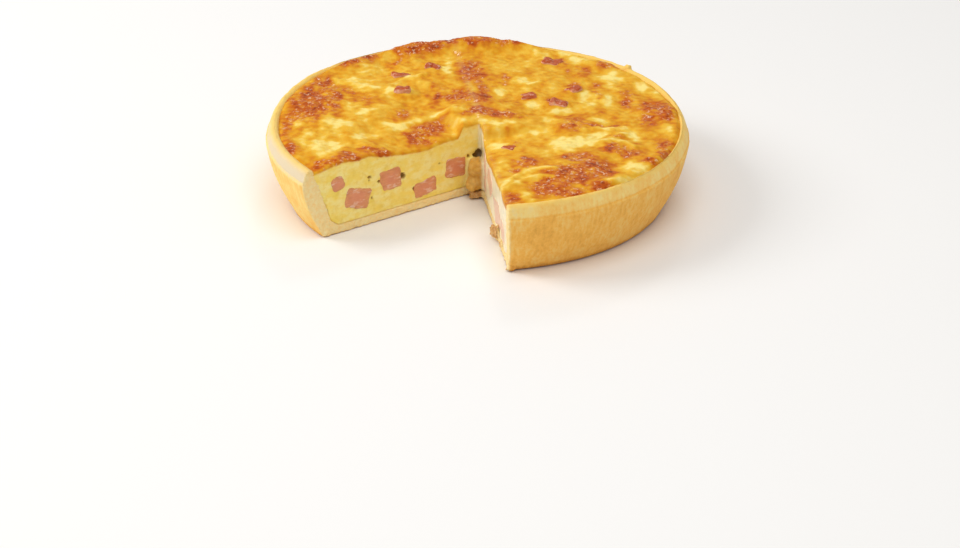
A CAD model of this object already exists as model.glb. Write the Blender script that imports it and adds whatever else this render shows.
"""Quiche lorraine with a wedge-shaped notch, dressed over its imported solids.

Laid out as an add-on: an operator makes each piece or group of like pieces, and main() calls
them in order. Both cuts start at the notch's tip, and distances along them are from there.
All sizes are in metres. The origin is the middle of the pastry case, on the face it rests on.
"""
import contextlib
import math

import bpy
import numpy as np
from mathutils import Matrix, Vector, noise


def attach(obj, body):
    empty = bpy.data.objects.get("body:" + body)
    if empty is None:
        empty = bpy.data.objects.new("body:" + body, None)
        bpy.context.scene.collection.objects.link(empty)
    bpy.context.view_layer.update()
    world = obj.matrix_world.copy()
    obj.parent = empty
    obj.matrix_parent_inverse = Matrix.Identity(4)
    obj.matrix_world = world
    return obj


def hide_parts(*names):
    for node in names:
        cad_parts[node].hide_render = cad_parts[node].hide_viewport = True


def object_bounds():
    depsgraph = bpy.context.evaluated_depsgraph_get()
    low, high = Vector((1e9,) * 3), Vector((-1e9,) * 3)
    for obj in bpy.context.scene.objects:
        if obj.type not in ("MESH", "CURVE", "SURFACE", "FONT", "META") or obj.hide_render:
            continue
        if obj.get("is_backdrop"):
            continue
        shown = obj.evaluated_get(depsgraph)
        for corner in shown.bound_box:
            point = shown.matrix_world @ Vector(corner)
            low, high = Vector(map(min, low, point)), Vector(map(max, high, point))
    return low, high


bl_info = {
    "name": "Quiche Lorraine",
    "version": (1, 0, 0),
    "blender": (4, 5, 0),
    "location": "3D View > Sidebar > Quiche",
    "description": "Builds a baked egg and ham quiche with a notch cut into it",
    "category": "Add Mesh",
}

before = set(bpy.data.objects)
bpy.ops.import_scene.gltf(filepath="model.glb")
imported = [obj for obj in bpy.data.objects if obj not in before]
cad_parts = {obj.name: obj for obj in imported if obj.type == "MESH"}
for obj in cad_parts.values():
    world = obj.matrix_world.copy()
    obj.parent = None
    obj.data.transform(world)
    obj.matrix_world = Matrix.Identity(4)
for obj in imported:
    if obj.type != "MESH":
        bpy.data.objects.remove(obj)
CAD_LOW, CAD_HIGH = (list(corner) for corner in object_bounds())
BODY = "root"

# The pastry case's section, as its solid has it
BASE_RADIUS = 0.0675
BASE_CORNER = 0.0014
CREASE_RADIUS = 0.0750
CREASE_HEIGHT = 0.0218
WALL_BULGE = 0.0012
BAND_FOOT = (0.0745, 0.0225)
RIM_OUTER_RADIUS = 0.0731
RIM_HEIGHT = 0.0268
RIM_INNER_RADIUS = 0.0701
BASE_THICKNESS = 0.0033
INNER_BASE_RADIUS = 0.0626
INNER_CORNER = 0.0022
RIM_LIP = ((0.0004, -0.0012), (-0.0005, -0.0002), (-0.0014, 0.0))
RIM_INNER_LIP = (0.0004, -0.0003)
RIM_WAVE = 0.00025
RIM_WAVE_HEIGHTS = (0.0180, 0.0255)
WALL_WAVE = 0.00020
SWELL = 0.011
SWELL_ANGLE = math.radians(-42)
SWELL_SPREAD = math.radians(32)
WALL_MIDDLE = 0.0006

# Where the filling laps over the rim: how far, the middle direction and the spread
LAPS = (
    (0.0012, math.radians(95), math.radians(48)),
    (0.0013, math.radians(-22), math.radians(38)),
)
LAP_HEIGHTS = (0.0140, 0.0250)
LAP_RISE = 0.0010
LAP_FULL = 0.0012
LAP_RADII = (0.0580, 0.0660)
LAP_RISE_RADII = (0.0600, 0.0690)
LAP_RADIUS = 0.0700

# The filling's top, as its solid has it
GAP = 0.0003
FILLING_EDGE_DROP = 0.0006
FILLING_EDGE_BAND = (0.0450, 0.0690)
CROWN = (0.0007, 0.045, 0.018)
SAG_DEPTH = 0.0038
SAG_PLACE = (-0.011, -0.017)
SAG_SIZE = 0.016
CUT_ROUNDING = 0.0006
CUT_ROUNDING_WIDTH = 0.0018
BROAD_RELIEF = (0.0120, 0.00070)
SMALL_RELIEF = (0.0060, 0.00055)

# The notch between the two knife cuts: each cut's angle, and the side on which the quiche is
NOTCH_TIP = (0.0012, -0.0027)
RIGHT_CUT = (math.radians(-81.9), 1.0)
LEFT_CUT = (math.radians(-144.5), -1.0)
CUTS = (RIGHT_CUT, LEFT_CUT)

# Blisters and swellings of the top: name, x, y, half width, half depth, height
BLISTERS = (
    ("back_rim", 0.0000, 0.0690, 0.0460, 0.0085, 0.0010),
    ("back_hump", 0.0012, 0.0705, 0.0068, 0.0050, 0.0012),
    ("left", -0.0575, 0.0150, 0.0130, 0.0230, 0.0008),
    ("left_rim", -0.0640, -0.0170, 0.0045, 0.0140, 0.0005),
    ("back_left", -0.0455, 0.0510, 0.0105, 0.0085, 0.0009),
    ("back", -0.0235, 0.0650, 0.0150, 0.0070, 0.0014),
    ("back_middle", 0.0050, 0.0690, 0.0170, 0.0055, 0.0016),
    ("back_right", 0.0470, 0.0515, 0.0110, 0.0065, 0.0008),
    ("middle_far", 0.0000, 0.0460, 0.0090, 0.0110, 0.0007),
    ("middle", -0.0040, 0.0240, 0.0100, 0.0110, 0.0007),
    ("middle_near", -0.0020, 0.0070, 0.0160, 0.0060, 0.0006),
    ("left_cut", -0.0180, -0.0080, 0.0120, 0.0085, 0.0008),
    ("left_cut_end", -0.0440, -0.0320, 0.0120, 0.0075, 0.0006),
    ("front", 0.0360, -0.0460, 0.0175, 0.0175, 0.0011),
    ("front_far", 0.0460, -0.0270, 0.0110, 0.0080, 0.0009),
    ("right", 0.0600, -0.0310, 0.0075, 0.0115, 0.0010),
    ("right_rim", 0.0635, 0.0070, 0.0085, 0.0100, 0.0008),
    ("right_back", 0.0350, 0.0240, 0.0060, 0.0070, 0.0006),
    ("right_middle", 0.0330, -0.0050, 0.0075, 0.0060, 0.0006),
    ("tip", 0.0150, -0.0330, 0.0070, 0.0075, 0.0006),
)
# The firm end of the filling over the notch's tip: x, y, and where it starts and stops falling
FIRM_END = (-0.0017, -0.0048, 0.0033, 0.0063)
FIRM_END_HEIGHT = 0.0271
FIRM_END_BACK = 0.20
FIRM_END_RIGHT = 0.22
FIRM_END_LEFT = 0.42
FIRM_END_TURN = 0.0090

# How far a mark reaches past its half width and depth
MARK_REACH = 1.25

# Toasted places: x, y, half width, half depth, how brown
BROWN_MARKS = (
    # left side
    (-0.0591, 0.0137, 0.0078, 0.0153, 1.00),
    (-0.0561, 0.0324, 0.0045, 0.0053, 1.00),
    (-0.0519, 0.0195, 0.0038, 0.0145, 0.95),
    (-0.0631, 0.0040, 0.0055, 0.0071, 0.90),
    (-0.0667, -0.0047, 0.0024, 0.0113, 0.75),
    (-0.0638, -0.0240, 0.0024, 0.0083, 0.65),
    (-0.0398, 0.0188, 0.0040, 0.0057, 0.50),
    (-0.0462, 0.0259, 0.0040, 0.0039, 0.45),
    (-0.0255, 0.0075, 0.0035, 0.0060, 0.65),
    # back edge
    (-0.0404, 0.0566, 0.0030, 0.0046, 1.00),
    (-0.0477, 0.0496, 0.0060, 0.0045, 0.72),
    (-0.0287, 0.0528, 0.0028, 0.0042, 0.60),
    (-0.0262, 0.0618, 0.0075, 0.0050, 1.00),
    (-0.0190, 0.0650, 0.0070, 0.0050, 1.00),
    (-0.0096, 0.0690, 0.0070, 0.0040, 0.80),
    (0.0009, 0.0690, 0.0070, 0.0040, 1.00),
    (0.0085, 0.0695, 0.0090, 0.0036, 0.90),
    (0.0494, 0.0500, 0.0062, 0.0045, 0.85),
    # middle
    (-0.0022, 0.0465, 0.0050, 0.0115, 0.80),
    (0.0000, 0.0370, 0.0045, 0.0066, 0.75),
    (0.0104, 0.0367, 0.0020, 0.0068, 0.70),
    (0.0023, 0.0276, 0.0031, 0.0049, 0.50),
    (-0.0138, 0.0233, 0.0030, 0.0091, 0.40),
    (-0.0050, 0.0200, 0.0062, 0.0067, 0.78),
    (0.0014, 0.0178, 0.0036, 0.0070, 0.85),
    (-0.0004, 0.0056, 0.0080, 0.0036, 0.85),
    (0.0096, 0.0032, 0.0062, 0.0034, 0.90),
    # along the left cut
    (-0.0197, -0.0082, 0.0066, 0.0062, 1.00),
    (-0.0146, -0.0020, 0.0042, 0.0046, 1.00),
    (-0.0505, -0.0365, 0.0060, 0.0040, 0.80),
    (-0.0440, -0.0315, 0.0055, 0.0044, 0.75),
    (-0.0349, -0.0245, 0.0085, 0.0032, 0.60),
    # far right
    (0.0294, 0.0532, 0.0042, 0.0040, 0.60),
    (0.0371, 0.0452, 0.0034, 0.0040, 0.55),
    (0.0355, 0.0303, 0.0026, 0.0036, 0.80),
    (0.0428, 0.0303, 0.0015, 0.0030, 0.65),
    (0.0433, 0.0218, 0.0020, 0.0050, 0.45),
    (0.0187, 0.0190, 0.0018, 0.0026, 0.70),
    (0.0269, 0.0145, 0.0030, 0.0036, 0.80),
    (0.0536, 0.0174, 0.0032, 0.0098, 0.52),
    (0.0619, 0.0093, 0.0058, 0.0070, 0.78),
    (0.0665, 0.0041, 0.0034, 0.0072, 1.00),
    (0.0598, -0.0011, 0.0034, 0.0053, 0.60),
    (0.0335, -0.0032, 0.0052, 0.0072, 0.66),
    (0.0439, -0.0062, 0.0075, 0.0013, 0.85),
    # front right
    (0.0485, -0.0162, 0.0044, 0.0016, 0.80),
    (0.0461, -0.0255, 0.0038, 0.0034, 0.95),
    (0.0513, -0.0290, 0.0044, 0.0048, 1.00),
    (0.0640, -0.0260, 0.0028, 0.0095, 0.90),
    (0.0574, -0.0360, 0.0044, 0.0020, 0.85),
    (0.0602, -0.0375, 0.0030, 0.0030, 1.00),
    (0.0302, -0.0477, 0.0078, 0.0082, 1.00),
    (0.0335, -0.0335, 0.0058, 0.0036, 1.05),
    (0.0410, -0.0425, 0.0062, 0.0090, 0.95),
    (0.0225, -0.0562, 0.0048, 0.0062, 1.10),
    (0.0298, -0.0600, 0.0070, 0.0036, 0.95),
    (0.0410, -0.0560, 0.0055, 0.0036, 0.85),
    (0.0169, -0.0364, 0.0044, 0.0050, 0.80),
    (0.0137, -0.0165, 0.0016, 0.0028, 0.80),
    (0.0126, -0.0642, 0.0032, 0.0040, 0.95),
    (0.0124, -0.0428, 0.0026, 0.0034, 0.45),
)

# Pale creamy places: x, y, half width, half depth, how pale
PALE_MARKS = (
    (-0.0403, 0.0457, 0.0042, 0.0042, 1.00),
    (-0.0445, 0.0345, 0.0060, 0.0036, 1.05),
    (-0.0413, 0.0309, 0.0034, 0.0030, 0.90),
    (-0.0329, 0.0573, 0.0028, 0.0030, 0.80),
    (-0.0446, 0.0122, 0.0040, 0.0044, 0.85),
    (-0.0409, 0.0071, 0.0028, 0.0036, 0.70),
    (-0.0503, -0.0033, 0.0062, 0.0054, 0.90),
    (-0.0522, -0.0238, 0.0058, 0.0085, 1.15),
    (-0.0282, -0.0036, 0.0048, 0.0033, 0.90),
    (-0.0406, -0.0124, 0.0044, 0.0050, 0.75),
    (-0.0319, 0.0229, 0.0028, 0.0044, 0.70),
    (-0.0105, 0.0464, 0.0028, 0.0090, 0.75),
    (-0.0623, -0.0165, 0.0030, 0.0031, 0.75),
    (-0.0629, -0.0022, 0.0018, 0.0050, 0.65),
    (-0.0583, -0.0111, 0.0026, 0.0045, 0.85),
    (0.0340, -0.0194, 0.0096, 0.0058, 1.05),
    (0.0299, -0.0240, 0.0050, 0.0046, 0.95),
    (0.0416, -0.0143, 0.0052, 0.0034, 0.95),
    (0.0493, 0.0361, 0.0048, 0.0055, 1.10),
    (0.0398, 0.0171, 0.0036, 0.0070, 1.05),
    (0.0464, 0.0168, 0.0026, 0.0058, 0.85),
    (0.0297, 0.0064, 0.0052, 0.0030, 0.95),
    (0.0384, 0.0538, 0.0062, 0.0046, 0.95),
    (0.0323, 0.0615, 0.0052, 0.0035, 0.85),
    (0.0589, 0.0294, 0.0034, 0.0064, 0.85),
    (0.0161, 0.0347, 0.0034, 0.0032, 0.95),
    (0.0082, 0.0250, 0.0024, 0.0046, 0.75),
    (0.0197, 0.0130, 0.0034, 0.0024, 0.95),
    (0.0077, -0.0166, 0.0036, 0.0036, 0.85),
    (0.0250, -0.0004, 0.0028, 0.0040, 0.75),
    (0.0518, -0.0411, 0.0060, 0.0056, 0.90),
    (0.0660, -0.0099, 0.0034, 0.0044, 0.75),
    (0.0545, -0.0156, 0.0026, 0.0052, 0.85),
    (0.0169, -0.0620, 0.0018, 0.0042, 0.80),
    (0.0414, 0.0000, 0.0034, 0.0036, 0.85),
    (0.0181, -0.0493, 0.0040, 0.0020, 0.85),
    (0.0520, -0.0520, 0.0076, 0.0036, 0.80),
    (0.0445, 0.0570, 0.0034, 0.0030, 0.65),
    (0.0242, 0.0600, 0.0062, 0.0048, 0.65),
    (0.0083, -0.0036, 0.0072, 0.0022, 0.75),
    (0.0203, -0.0089, 0.0050, 0.0024, 0.60),
    (0.0638, 0.0249, 0.0034, 0.0046, 0.65),
    (0.0081, -0.0401, 0.0034, 0.0055, 0.55),
    (-0.0490, -0.0130, 0.0110, 0.0160, 0.24),
    (0.0160, -0.0110, 0.0150, 0.0100, 0.22),
    (0.0530, 0.0300, 0.0110, 0.0120, 0.20),
    (0.0110, 0.0440, 0.0120, 0.0130, 0.20),
    (-0.0340, 0.0120, 0.0120, 0.0130, 0.18),
    (0.0010, -0.0005, 0.0060, 0.0030, 0.35),
    (-0.0085, -0.0030, 0.0046, 0.0046, 0.50),
)

# Folds of the skin: the points they run through, width, height, how pale
FOLDS = (
    (((0.0087, -0.0581), (0.0118, -0.0513), (0.0153, -0.0446), (0.0197, -0.0420),
      (0.0255, -0.0432)), 0.0016, 0.00075, 1.00),
    (((0.0108, -0.0575), (0.0157, -0.0510), (0.0205, -0.0486), (0.0244, -0.0500)),
     0.0012, 0.00045, 0.80),
    (((0.0269, -0.0250), (0.0339, -0.0226), (0.0404, -0.0204), (0.0455, -0.0177),
      (0.0511, -0.0135)), 0.0018, 0.00060, 0.90),
    (((0.0429, -0.0210), (0.0470, -0.0186), (0.0509, -0.0200), (0.0535, -0.0252)),
     0.0011, 0.00050, 0.70),
    (((0.0365, -0.0090), (0.0444, -0.0088), (0.0510, -0.0080)), 0.0012, 0.00040, 0.70),
    (((-0.0515, 0.0362), (-0.0444, 0.0322), (-0.0375, 0.0280)), 0.0014, 0.00045, 0.85),
    (((-0.0335, 0.0205), (-0.0316, 0.0310), (-0.0257, 0.0366), (-0.0190, 0.0400)),
     0.0012, 0.00040, 0.70),
    (((-0.0310, -0.0055), (-0.0258, -0.0012), (-0.0200, 0.0022), (-0.0148, 0.0052),
      (-0.0098, 0.0072), (-0.0055, 0.0060)), 0.0020, 0.00045, 0.85),
    (((0.0148, 0.0345), (0.0189, 0.0309), (0.0225, 0.0327)), 0.0010, 0.00040, 0.80),
)

# Ham at the cuts: name, distance from the tip, height, length, tall, lean in degrees
HAM_DEPTH = 0.0100
HAM_CORNER = 0.0011
HAM_PROUD = 0.0020
HAM_WOBBLE = 0.16
HAM_WOBBLE_SIZE = 0.32
HAM_BULGE = 0.00052
HAM_FIBRES = 0.00007
HAM_CUT_INSET = 0.00003
RIGHT_CUT_HAM = (
    ("ham_right_tip_high", 0.0125, 0.0155, 0.0066, 0.0100, 14),
    ("ham_right_tip_low", 0.0105, 0.0073, 0.0050, 0.0046, 5),
    ("ham_right_middle", 0.0265, 0.0155, 0.0118, 0.0082, -38),
    ("ham_right_large", 0.0415, 0.0107, 0.0135, 0.0098, -12),
    ("ham_right_crust", 0.0535, 0.0095, 0.0066, 0.0074, 20),
)
LEFT_CUT_HAM = (
    ("ham_left_tip", 0.0106, 0.0119, 0.0086, 0.0076, -6),
    ("ham_left_low", 0.0235, 0.0077, 0.0092, 0.0056, 10),
    ("ham_left_middle", 0.0379, 0.0146, 0.0082, 0.0080, 4),
    ("ham_left_outer", 0.0520, 0.0112, 0.0098, 0.0072, -16),
    ("ham_left_crust", 0.0596, 0.0185, 0.0054, 0.0050, 12),
)

# Ham on the top: name, x, y, length, width, turn in degrees, height that stands proud
TOP_HAM_THICKNESS = 0.0050
TOP_HAM_TILT = 7.0
TOP_HAM_RAGGED = 0.0009
TOP_HAM_DENTS = 0.00022
TOP_HAM = (
    ("ham_top_strip", -0.0264, 0.0400, 0.0096, 0.0036, 12, 0.0007),
    ("ham_top_nub", -0.0267, 0.0243, 0.0056, 0.0048, -20, 0.0020),
    ("ham_top_far", -0.0166, 0.0470, 0.0062, 0.0048, -15, 0.0011),
    ("ham_top_pink", 0.0186, 0.0200, 0.0060, 0.0048, 8, 0.0008),
    ("ham_top_shoulder", 0.0290, 0.0128, 0.0068, 0.0046, -24, 0.0010),
    ("ham_top_red", 0.0352, 0.0245, 0.0056, 0.0050, 30, 0.0011),
    ("ham_top_back", 0.0276, 0.0530, 0.0078, 0.0054, -8, 0.0009),
    ("ham_top_front", 0.0110, -0.0215, 0.0058, 0.0036, -35, 0.0005),
)

# A torn bit of filling in the tip of the notch: width, length and shifts
LUMP = (0.0062, 0.0100, 0.0025, 0.0026)
LUMP_HEIGHT = 0.0142
LUMP_TAPER = 0.80
LUMP_CORNER = 0.0012
LUMP_OVERLAP = 0.0004
CRUST_LUMP_CORNER = 0.0009

# How far the right cut leans out over the notch at its top, how deep and between which heights,
# and how far the baked skin reaches down that cut
RIGHT_LEAN = 0.0012
RIGHT_LEAN_DEPTH = 0.0060
RIGHT_LEAN_START = (0.0060, 0.0240)
RIGHT_LEAN_HEIGHTS = (0.0040, 0.0250)
SKIN_REACH = 0.0013

# Crumbs baked or smeared on: x, y, height, length, width, tall, turn in degrees
CRUMBS = (
    (0.0553, 0.0460, 0.0268, 0.0036, 0.0026, 0.0026, 30),
    (0.0059, -0.0421, 0.0034, 0.0052, 0.0034, 0.0046, -76),
    (0.0070, -0.0458, 0.0050, 0.0044, 0.0028, 0.0050, -95),
    (0.0082, -0.0520, 0.0032, 0.0050, 0.0020, 0.0034, -82),
    (0.0112, -0.0662, 0.0010, 0.0040, 0.0026, 0.0022, 10),
)

# Holes in the cut filling: along the cut from the tip, height, radius, how much taller
LEFT_CUT_HOLES = (
    (0.0013, 0.0150, 0.0016, 0.8),
    (0.0052, 0.0150, 0.0007, 1.0),
    (0.0333, 0.0160, 0.0015, 1.3),
    (0.0467, 0.0183, 0.0008, 0.8),
    (0.0428, 0.0158, 0.0007, 1.0),
)
SMALL_HOLES = 16
SMALL_HOLE_LIMITS = ((0.012, 0.064), (0.006, 0.022), (0.0003, 0.0007), (0.7, 1.3))
HOLE_REACH = 0.0012
HOLE_DARKNESS = 1600.0

# Relief of the case. The groove has its depth and half width, and a face that was cut or torn
# has how far it stands back and how rough it is.
CRUST_DRAG = 0.00004
CRUST_LUMPS = 0.00012
CRUST_PITS = 0.00005
CREASE_GROOVE = (0.00026, 0.00035)
CREASE_RISE = 0.0004
CREASE_WANDER = 0.0003
RIM_BAND = (0.0245, 0.0262)
RIM_LUMPS = 0.00022
RIM_GRAIN = 0.00012
CUT_CRUST = (0.00014, 0.00030)
TORN_CRUST = (0.0002, 0.0009)

# Relief of the filling, with its cut and torn faces in the same way
BUBBLE_SIZE = 0.0017
BUBBLE_RISE = 0.00034
TOAST_SINK = 0.00012
SKIN_GRAIN = 0.00018
SKIN_LUMPS = 0.00026
SMOOTH_SKIN_GRAIN = 0.00010
EDGE_START = 0.0686
EDGE_DROP = 0.0007
TOP_START = 0.0080
TOP_MARGIN = 0.00003
CUT_CURD = (0.00013, 0.00009)
TORN_CURD = (0.0001, 0.0011, 0.0008)

# Distances from a cut plane: where its face ends, where the torn bit starts and is full, and
# where points are hidden
CASE_CUT = (0.0001, 0.0009)
FILLING_CUT = (0.0001, 0.0008)
TORN = (0.0003, 0.0009)
HIDDEN_FROM_CUT = 0.0015
CASE_HIDDEN_HEIGHT = 0.0240
FILLING_HIDDEN_HEIGHT = 0.0235

# Tones of the case: its paler side, its brown foot, and the heights and radii of the egg wash
PALE_SIDE = math.radians(214)
PALE_SIDE_SPREAD = math.radians(38)
BROWN_FOOT = 0.0026
CREASE_BAND = (CREASE_HEIGHT - 0.0010, CREASE_HEIGHT + 0.0012)
GLAZE_HEIGHTS = (0.0240, 0.0262)
GLAZE_RADII = (RIM_INNER_RADIUS + 0.0020, RIM_OUTER_RADIUS + 0.0012)
BROWNED_HEIGHTS = (0.0002, 0.0200)

# Mesh fineness, and the share of faces that is left where nobody sees them
SKIN_SIZE = 0.00048
HAM_SKIN_SIZE = 0.00030
TURN_STEPS = 180
FILLING_TOP = 0.0272
FILLING_FLARE = 0.0714
PASTRY_OVERLAP = 0.00015
SHOULDER_HEIGHT = 0.0180
CASE_HIDDEN_SHARE = 0.04
FILLING_HIDDEN_SHARE = 0.03
MERGE_DISTANCE = 0.00001

# The stage
FLOOR_SIZE = 12.0
FLOOR_DROP = 0.0002
LIGHTS = (
    ("key", (-0.95, 0.10, 0.70), 0.55),
    ("overhead", (0.10, -0.35, 1.15), 0.90),
    ("back", (0.10, 0.95, 0.85), 0.20),
)


def linear(code):
    """A colour written as six hex digits, as linear light."""
    parts = [int(code[start:start + 2], 16) / 255.0 for start in (0, 2, 4)]
    return tuple(c / 12.92 if c <= 0.04045 else ((c + 0.055) / 1.055) ** 2.4 for c in parts)


def colour_property(name, description, code):
    """A colour that the user can change."""
    return bpy.props.FloatVectorProperty(
        name=name, description=description, default=linear(code),
        subtype="COLOR", min=0.0, max=1.0,
    )


class QuicheColours(bpy.types.PropertyGroup):
    """Colours of the baked pieces."""

    cream: colour_property("Cream", "Palest places on the baked top", "F4DB80")
    yolk: colour_property("Yolk", "Set egg that hasn't browned", "E9B93E")
    gold: colour_property("Gold", "Egg that has begun to brown", "DD9A1E")
    amber: colour_property("Amber", "Well baked egg", "CC7618")
    toast: colour_property("Toast", "Browned blisters", "B95210")
    char: colour_property("Char", "Darkest grains of the blisters", "8E3A10")
    custard: colour_property("Custard", "Inside of the filling at a cut", "FADA6A")
    custard_right: colour_property("Creamy custard", "Filling at the right cut", "FAF0D4")
    custard_pale: colour_property("Pale custard", "Creamy streaks at a cut", "FDE794")
    custard_deep: colour_property("Deep custard", "Yellow mottling at a cut", "EECA56")
    custard_torn: colour_property("Torn custard", "Browned remains at the notch's tip", "D2943F")
    glint: colour_property("Glint", "Drops of fat on the browned places", "F2CDA4")
    pit: colour_property("Pit", "Holes at a cut", "8E6226")
    pastry: colour_property("Pastry", "Baked outer wall", "F7BA55")
    pastry_white: colour_property("White pastry", "Side that stayed pale", "E3D0AE")
    pastry_pale: colour_property("Pale pastry", "Rim and upper band", "F9D986")
    pastry_brown: colour_property("Brown pastry", "Base edge and high spots", "B9732B")
    pastry_crumb: colour_property("Pastry crumb", "Cut faces of the pastry", "F7E3A8")
    ham: colour_property("Ham", "Cut ham", "E69D62")
    ham_deep: colour_property("Deep ham", "Redder streaks in the ham", "C57046")
    ham_pink: colour_property("Pink ham", "Middle of the cut ham", "E18A68")
    ham_fat: colour_property("Ham fat", "Pale seams in the ham", "F1C9B0")
    ham_roast: colour_property("Roast ham", "Ham browned at the top", "B24C18")
    egg_wash: colour_property("Egg wash", "Yellow film on the rim", "EFC766")
    crust_crumb: colour_property("Crust crumb", "Browned crumbs at the cuts", "B97A3C")
    floor: colour_property("Floor", "Pale ground", "F4F2EF")


class QuicheStage(bpy.types.PropertyGroup):
    """Camera and lights."""

    camera_place: bpy.props.FloatVectorProperty(
        name="Camera place", description="Where the camera stands",
        default=(0.0010, -0.8799, 0.4095), subtype="TRANSLATION", unit="LENGTH",
    )
    camera_tilt: bpy.props.FloatProperty(
        name="Camera tilt", description="Turn of the camera up from straight down",
        default=math.radians(63.22), subtype="ANGLE", unit="ROTATION",
    )
    camera_lens: bpy.props.FloatProperty(
        name="Camera lens", description="Focal length in millimetres", default=102.08,
    )
    key_power: bpy.props.FloatProperty(
        name="Key power", description="Power of the large light on the left",
        default=7.2, unit="POWER",
    )
    fill_power: bpy.props.FloatProperty(
        name="Fill power", description="Power of the overhead light", default=5.8, unit="POWER",
    )
    back_power: bpy.props.FloatProperty(
        name="Back power", description="Power of the light behind that makes the skin glint",
        default=0.9, unit="POWER",
    )
    sky_strength: bpy.props.FloatProperty(
        name="Sky strength", description="Strength of the even white surround", default=0.46,
    )


class Value:
    """One output of a shader node, with which sums are written as expressions."""

    def __init__(self, finish, socket):
        self.finish = finish
        self.socket = socket

    def __add__(self, other):
        return self.finish.math("ADD", self, other)

    def __sub__(self, other):
        return self.finish.math("SUBTRACT", self, other)

    def __rsub__(self, other):
        return self.finish.math("SUBTRACT", other, self)

    def __mul__(self, other):
        return self.finish.math("MULTIPLY", self, other)

    __radd__ = __add__
    __rmul__ = __mul__

    def clamped(self):
        """The value held between 0 and 1."""
        return self.finish.node("ShaderNodeClamp", {}, {"Value": self})

    def stepped(self, low, high):
        """0 below low, 1 above high, and a smooth step between them."""
        return self.finish.node(
            "ShaderNodeMapRange", {"interpolation_type": "SMOOTHSTEP"},
            {"Value": self, "From Min": low, "From Max": high},
        )


class Finish:
    """A material whose nodes are written as expressions."""

    def __init__(self, name):
        self.material = bpy.data.materials.new(name)
        self.material.use_nodes = True
        self.tree = self.material.node_tree
        self.shader = self.tree.nodes["Principled BSDF"]

    def node(self, kind, settings, inputs, output=0):
        """Any node, from its settings and the values or links of its sockets."""
        made = self.tree.nodes.new(kind)
        for name, value in settings.items():
            if name == "stops":
                set_stops(made.color_ramp, value)
            else:
                setattr(made, name, value)
        for key, value in inputs.items():
            self.feed(made.inputs[key], value)
        return Value(self, made.outputs[output])

    def feed(self, socket, value):
        """Link a value to a socket, or set the socket."""
        if isinstance(value, Value):
            self.tree.links.new(value.socket, socket)
        elif socket.type == "RGBA":
            socket.default_value = (*value, 1.0)
        else:
            socket.default_value = value

    def math(self, operation, first, second):
        """One sum on two values or numbers."""
        return self.node("ShaderNodeMath", {"operation": operation}, {0: first, 1: second})

    def mix(self, share, first, second):
        """A colour between two colours."""
        return self.node(
            "ShaderNodeMix", {"data_type": "RGBA"}, {0: share, 6: first, 7: second}, 2,
        )

    def ramp(self, tone, *stops):
        """Colours along a tone, each with the tone where it stands."""
        return self.node("ShaderNodeValToRGB", {"stops": stops}, {"Fac": tone})

    def attribute(self, name):
        """A number that the mesh holds for each point."""
        return self.node("ShaderNodeAttribute", {"attribute_name": name}, {}, 2)

    def place(self, stretch=(1.0, 1.0, 1.0)):
        """Object coordinates, drawn out along the axes."""
        place = self.node("ShaderNodeTexCoord", {}, {}, 3)
        return self.node("ShaderNodeMapping", {}, {"Vector": place, "Scale": stretch})

    def noise(self, place, size, detail=3.0, roughness=0.55):
        """Cloudy noise in lumps of the given size."""
        return self.node(
            "ShaderNodeTexNoise", {},
            {"Vector": place, "Scale": 1.0 / size, "Detail": detail, "Roughness": roughness},
        )

    def set(self, **sockets):
        """Set the shader's sockets by name, with _ for a space."""
        for name, value in sockets.items():
            self.feed(self.shader.inputs[name.replace("_", " ")], value)

    def glow(self, share, red, green, blue):
        """Let a share of the light go in, and each colour travel its own distance there."""
        self.set(
            Subsurface_Weight=share, Subsurface_Radius=(red, green, blue), Subsurface_Scale=1.0,
        )

    def bump(self, height, distance, strength):
        """Feed fine relief to the shader."""
        bump = self.node(
            "ShaderNodeBump", {}, {"Height": height, "Distance": distance, "Strength": strength},
        )
        self.set(Normal=bump)


def set_stops(ramp, stops):
    """Give a colour ramp its stops."""
    while len(ramp.elements) > 1:
        ramp.elements.remove(ramp.elements[-1])
    for index, (position, colour) in enumerate(stops):
        element = ramp.elements[0] if index == 0 else ramp.elements.new(position)
        element.position = position
        element.color = (*colour, 1.0)


def pastry_material(colours):
    """Matt shortcrust: pale at the rim, golden down the wall, crumbly where it is cut."""
    finish = Finish("shortcrust_pastry")
    place = finish.place()
    bake = finish.attribute("bake")
    crumb = finish.attribute("crumb")
    cloud = finish.noise(place, 0.0070, 4.0)
    speck = finish.noise(place, 0.0011, 5.0, 0.7)
    drag = finish.noise(finish.place((1.0, 1.0, 0.16)), 0.0012, 3.0)
    tone = bake + 0.30 * (cloud - 0.5) + 0.30 * (speck - 0.5) + 0.36 * (drag - 0.5)
    wall = finish.ramp(
        tone, (0.08, colours.pastry_white), (0.36, colours.pastry_pale),
        (0.58, colours.pastry), (1.00, colours.pastry_brown),
    )
    flecks = (finish.noise(place, 0.0016, 5.0, 0.7) * 1.5 - 0.5).clamped()
    inside = finish.mix(flecks, colours.pastry_crumb, colours.pastry)
    colour = finish.mix(crumb, wall, inside)
    colour = finish.mix(0.85 * finish.attribute("glaze"), colour, colours.egg_wash)
    browned = finish.attribute("browned") * (speck * 1.4).clamped()
    colour = finish.mix(browned, colour, colours.crust_crumb)
    finish.set(Base_Color=colour, Roughness=0.70 + 0.15 * speck, Specular_IOR_Level=0.22)
    finish.glow(0.06, 0.0020, 0.0012, 0.0006)
    finish.bump(speck + 0.5 * drag, 0.00018, 0.7)
    return finish.material


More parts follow.
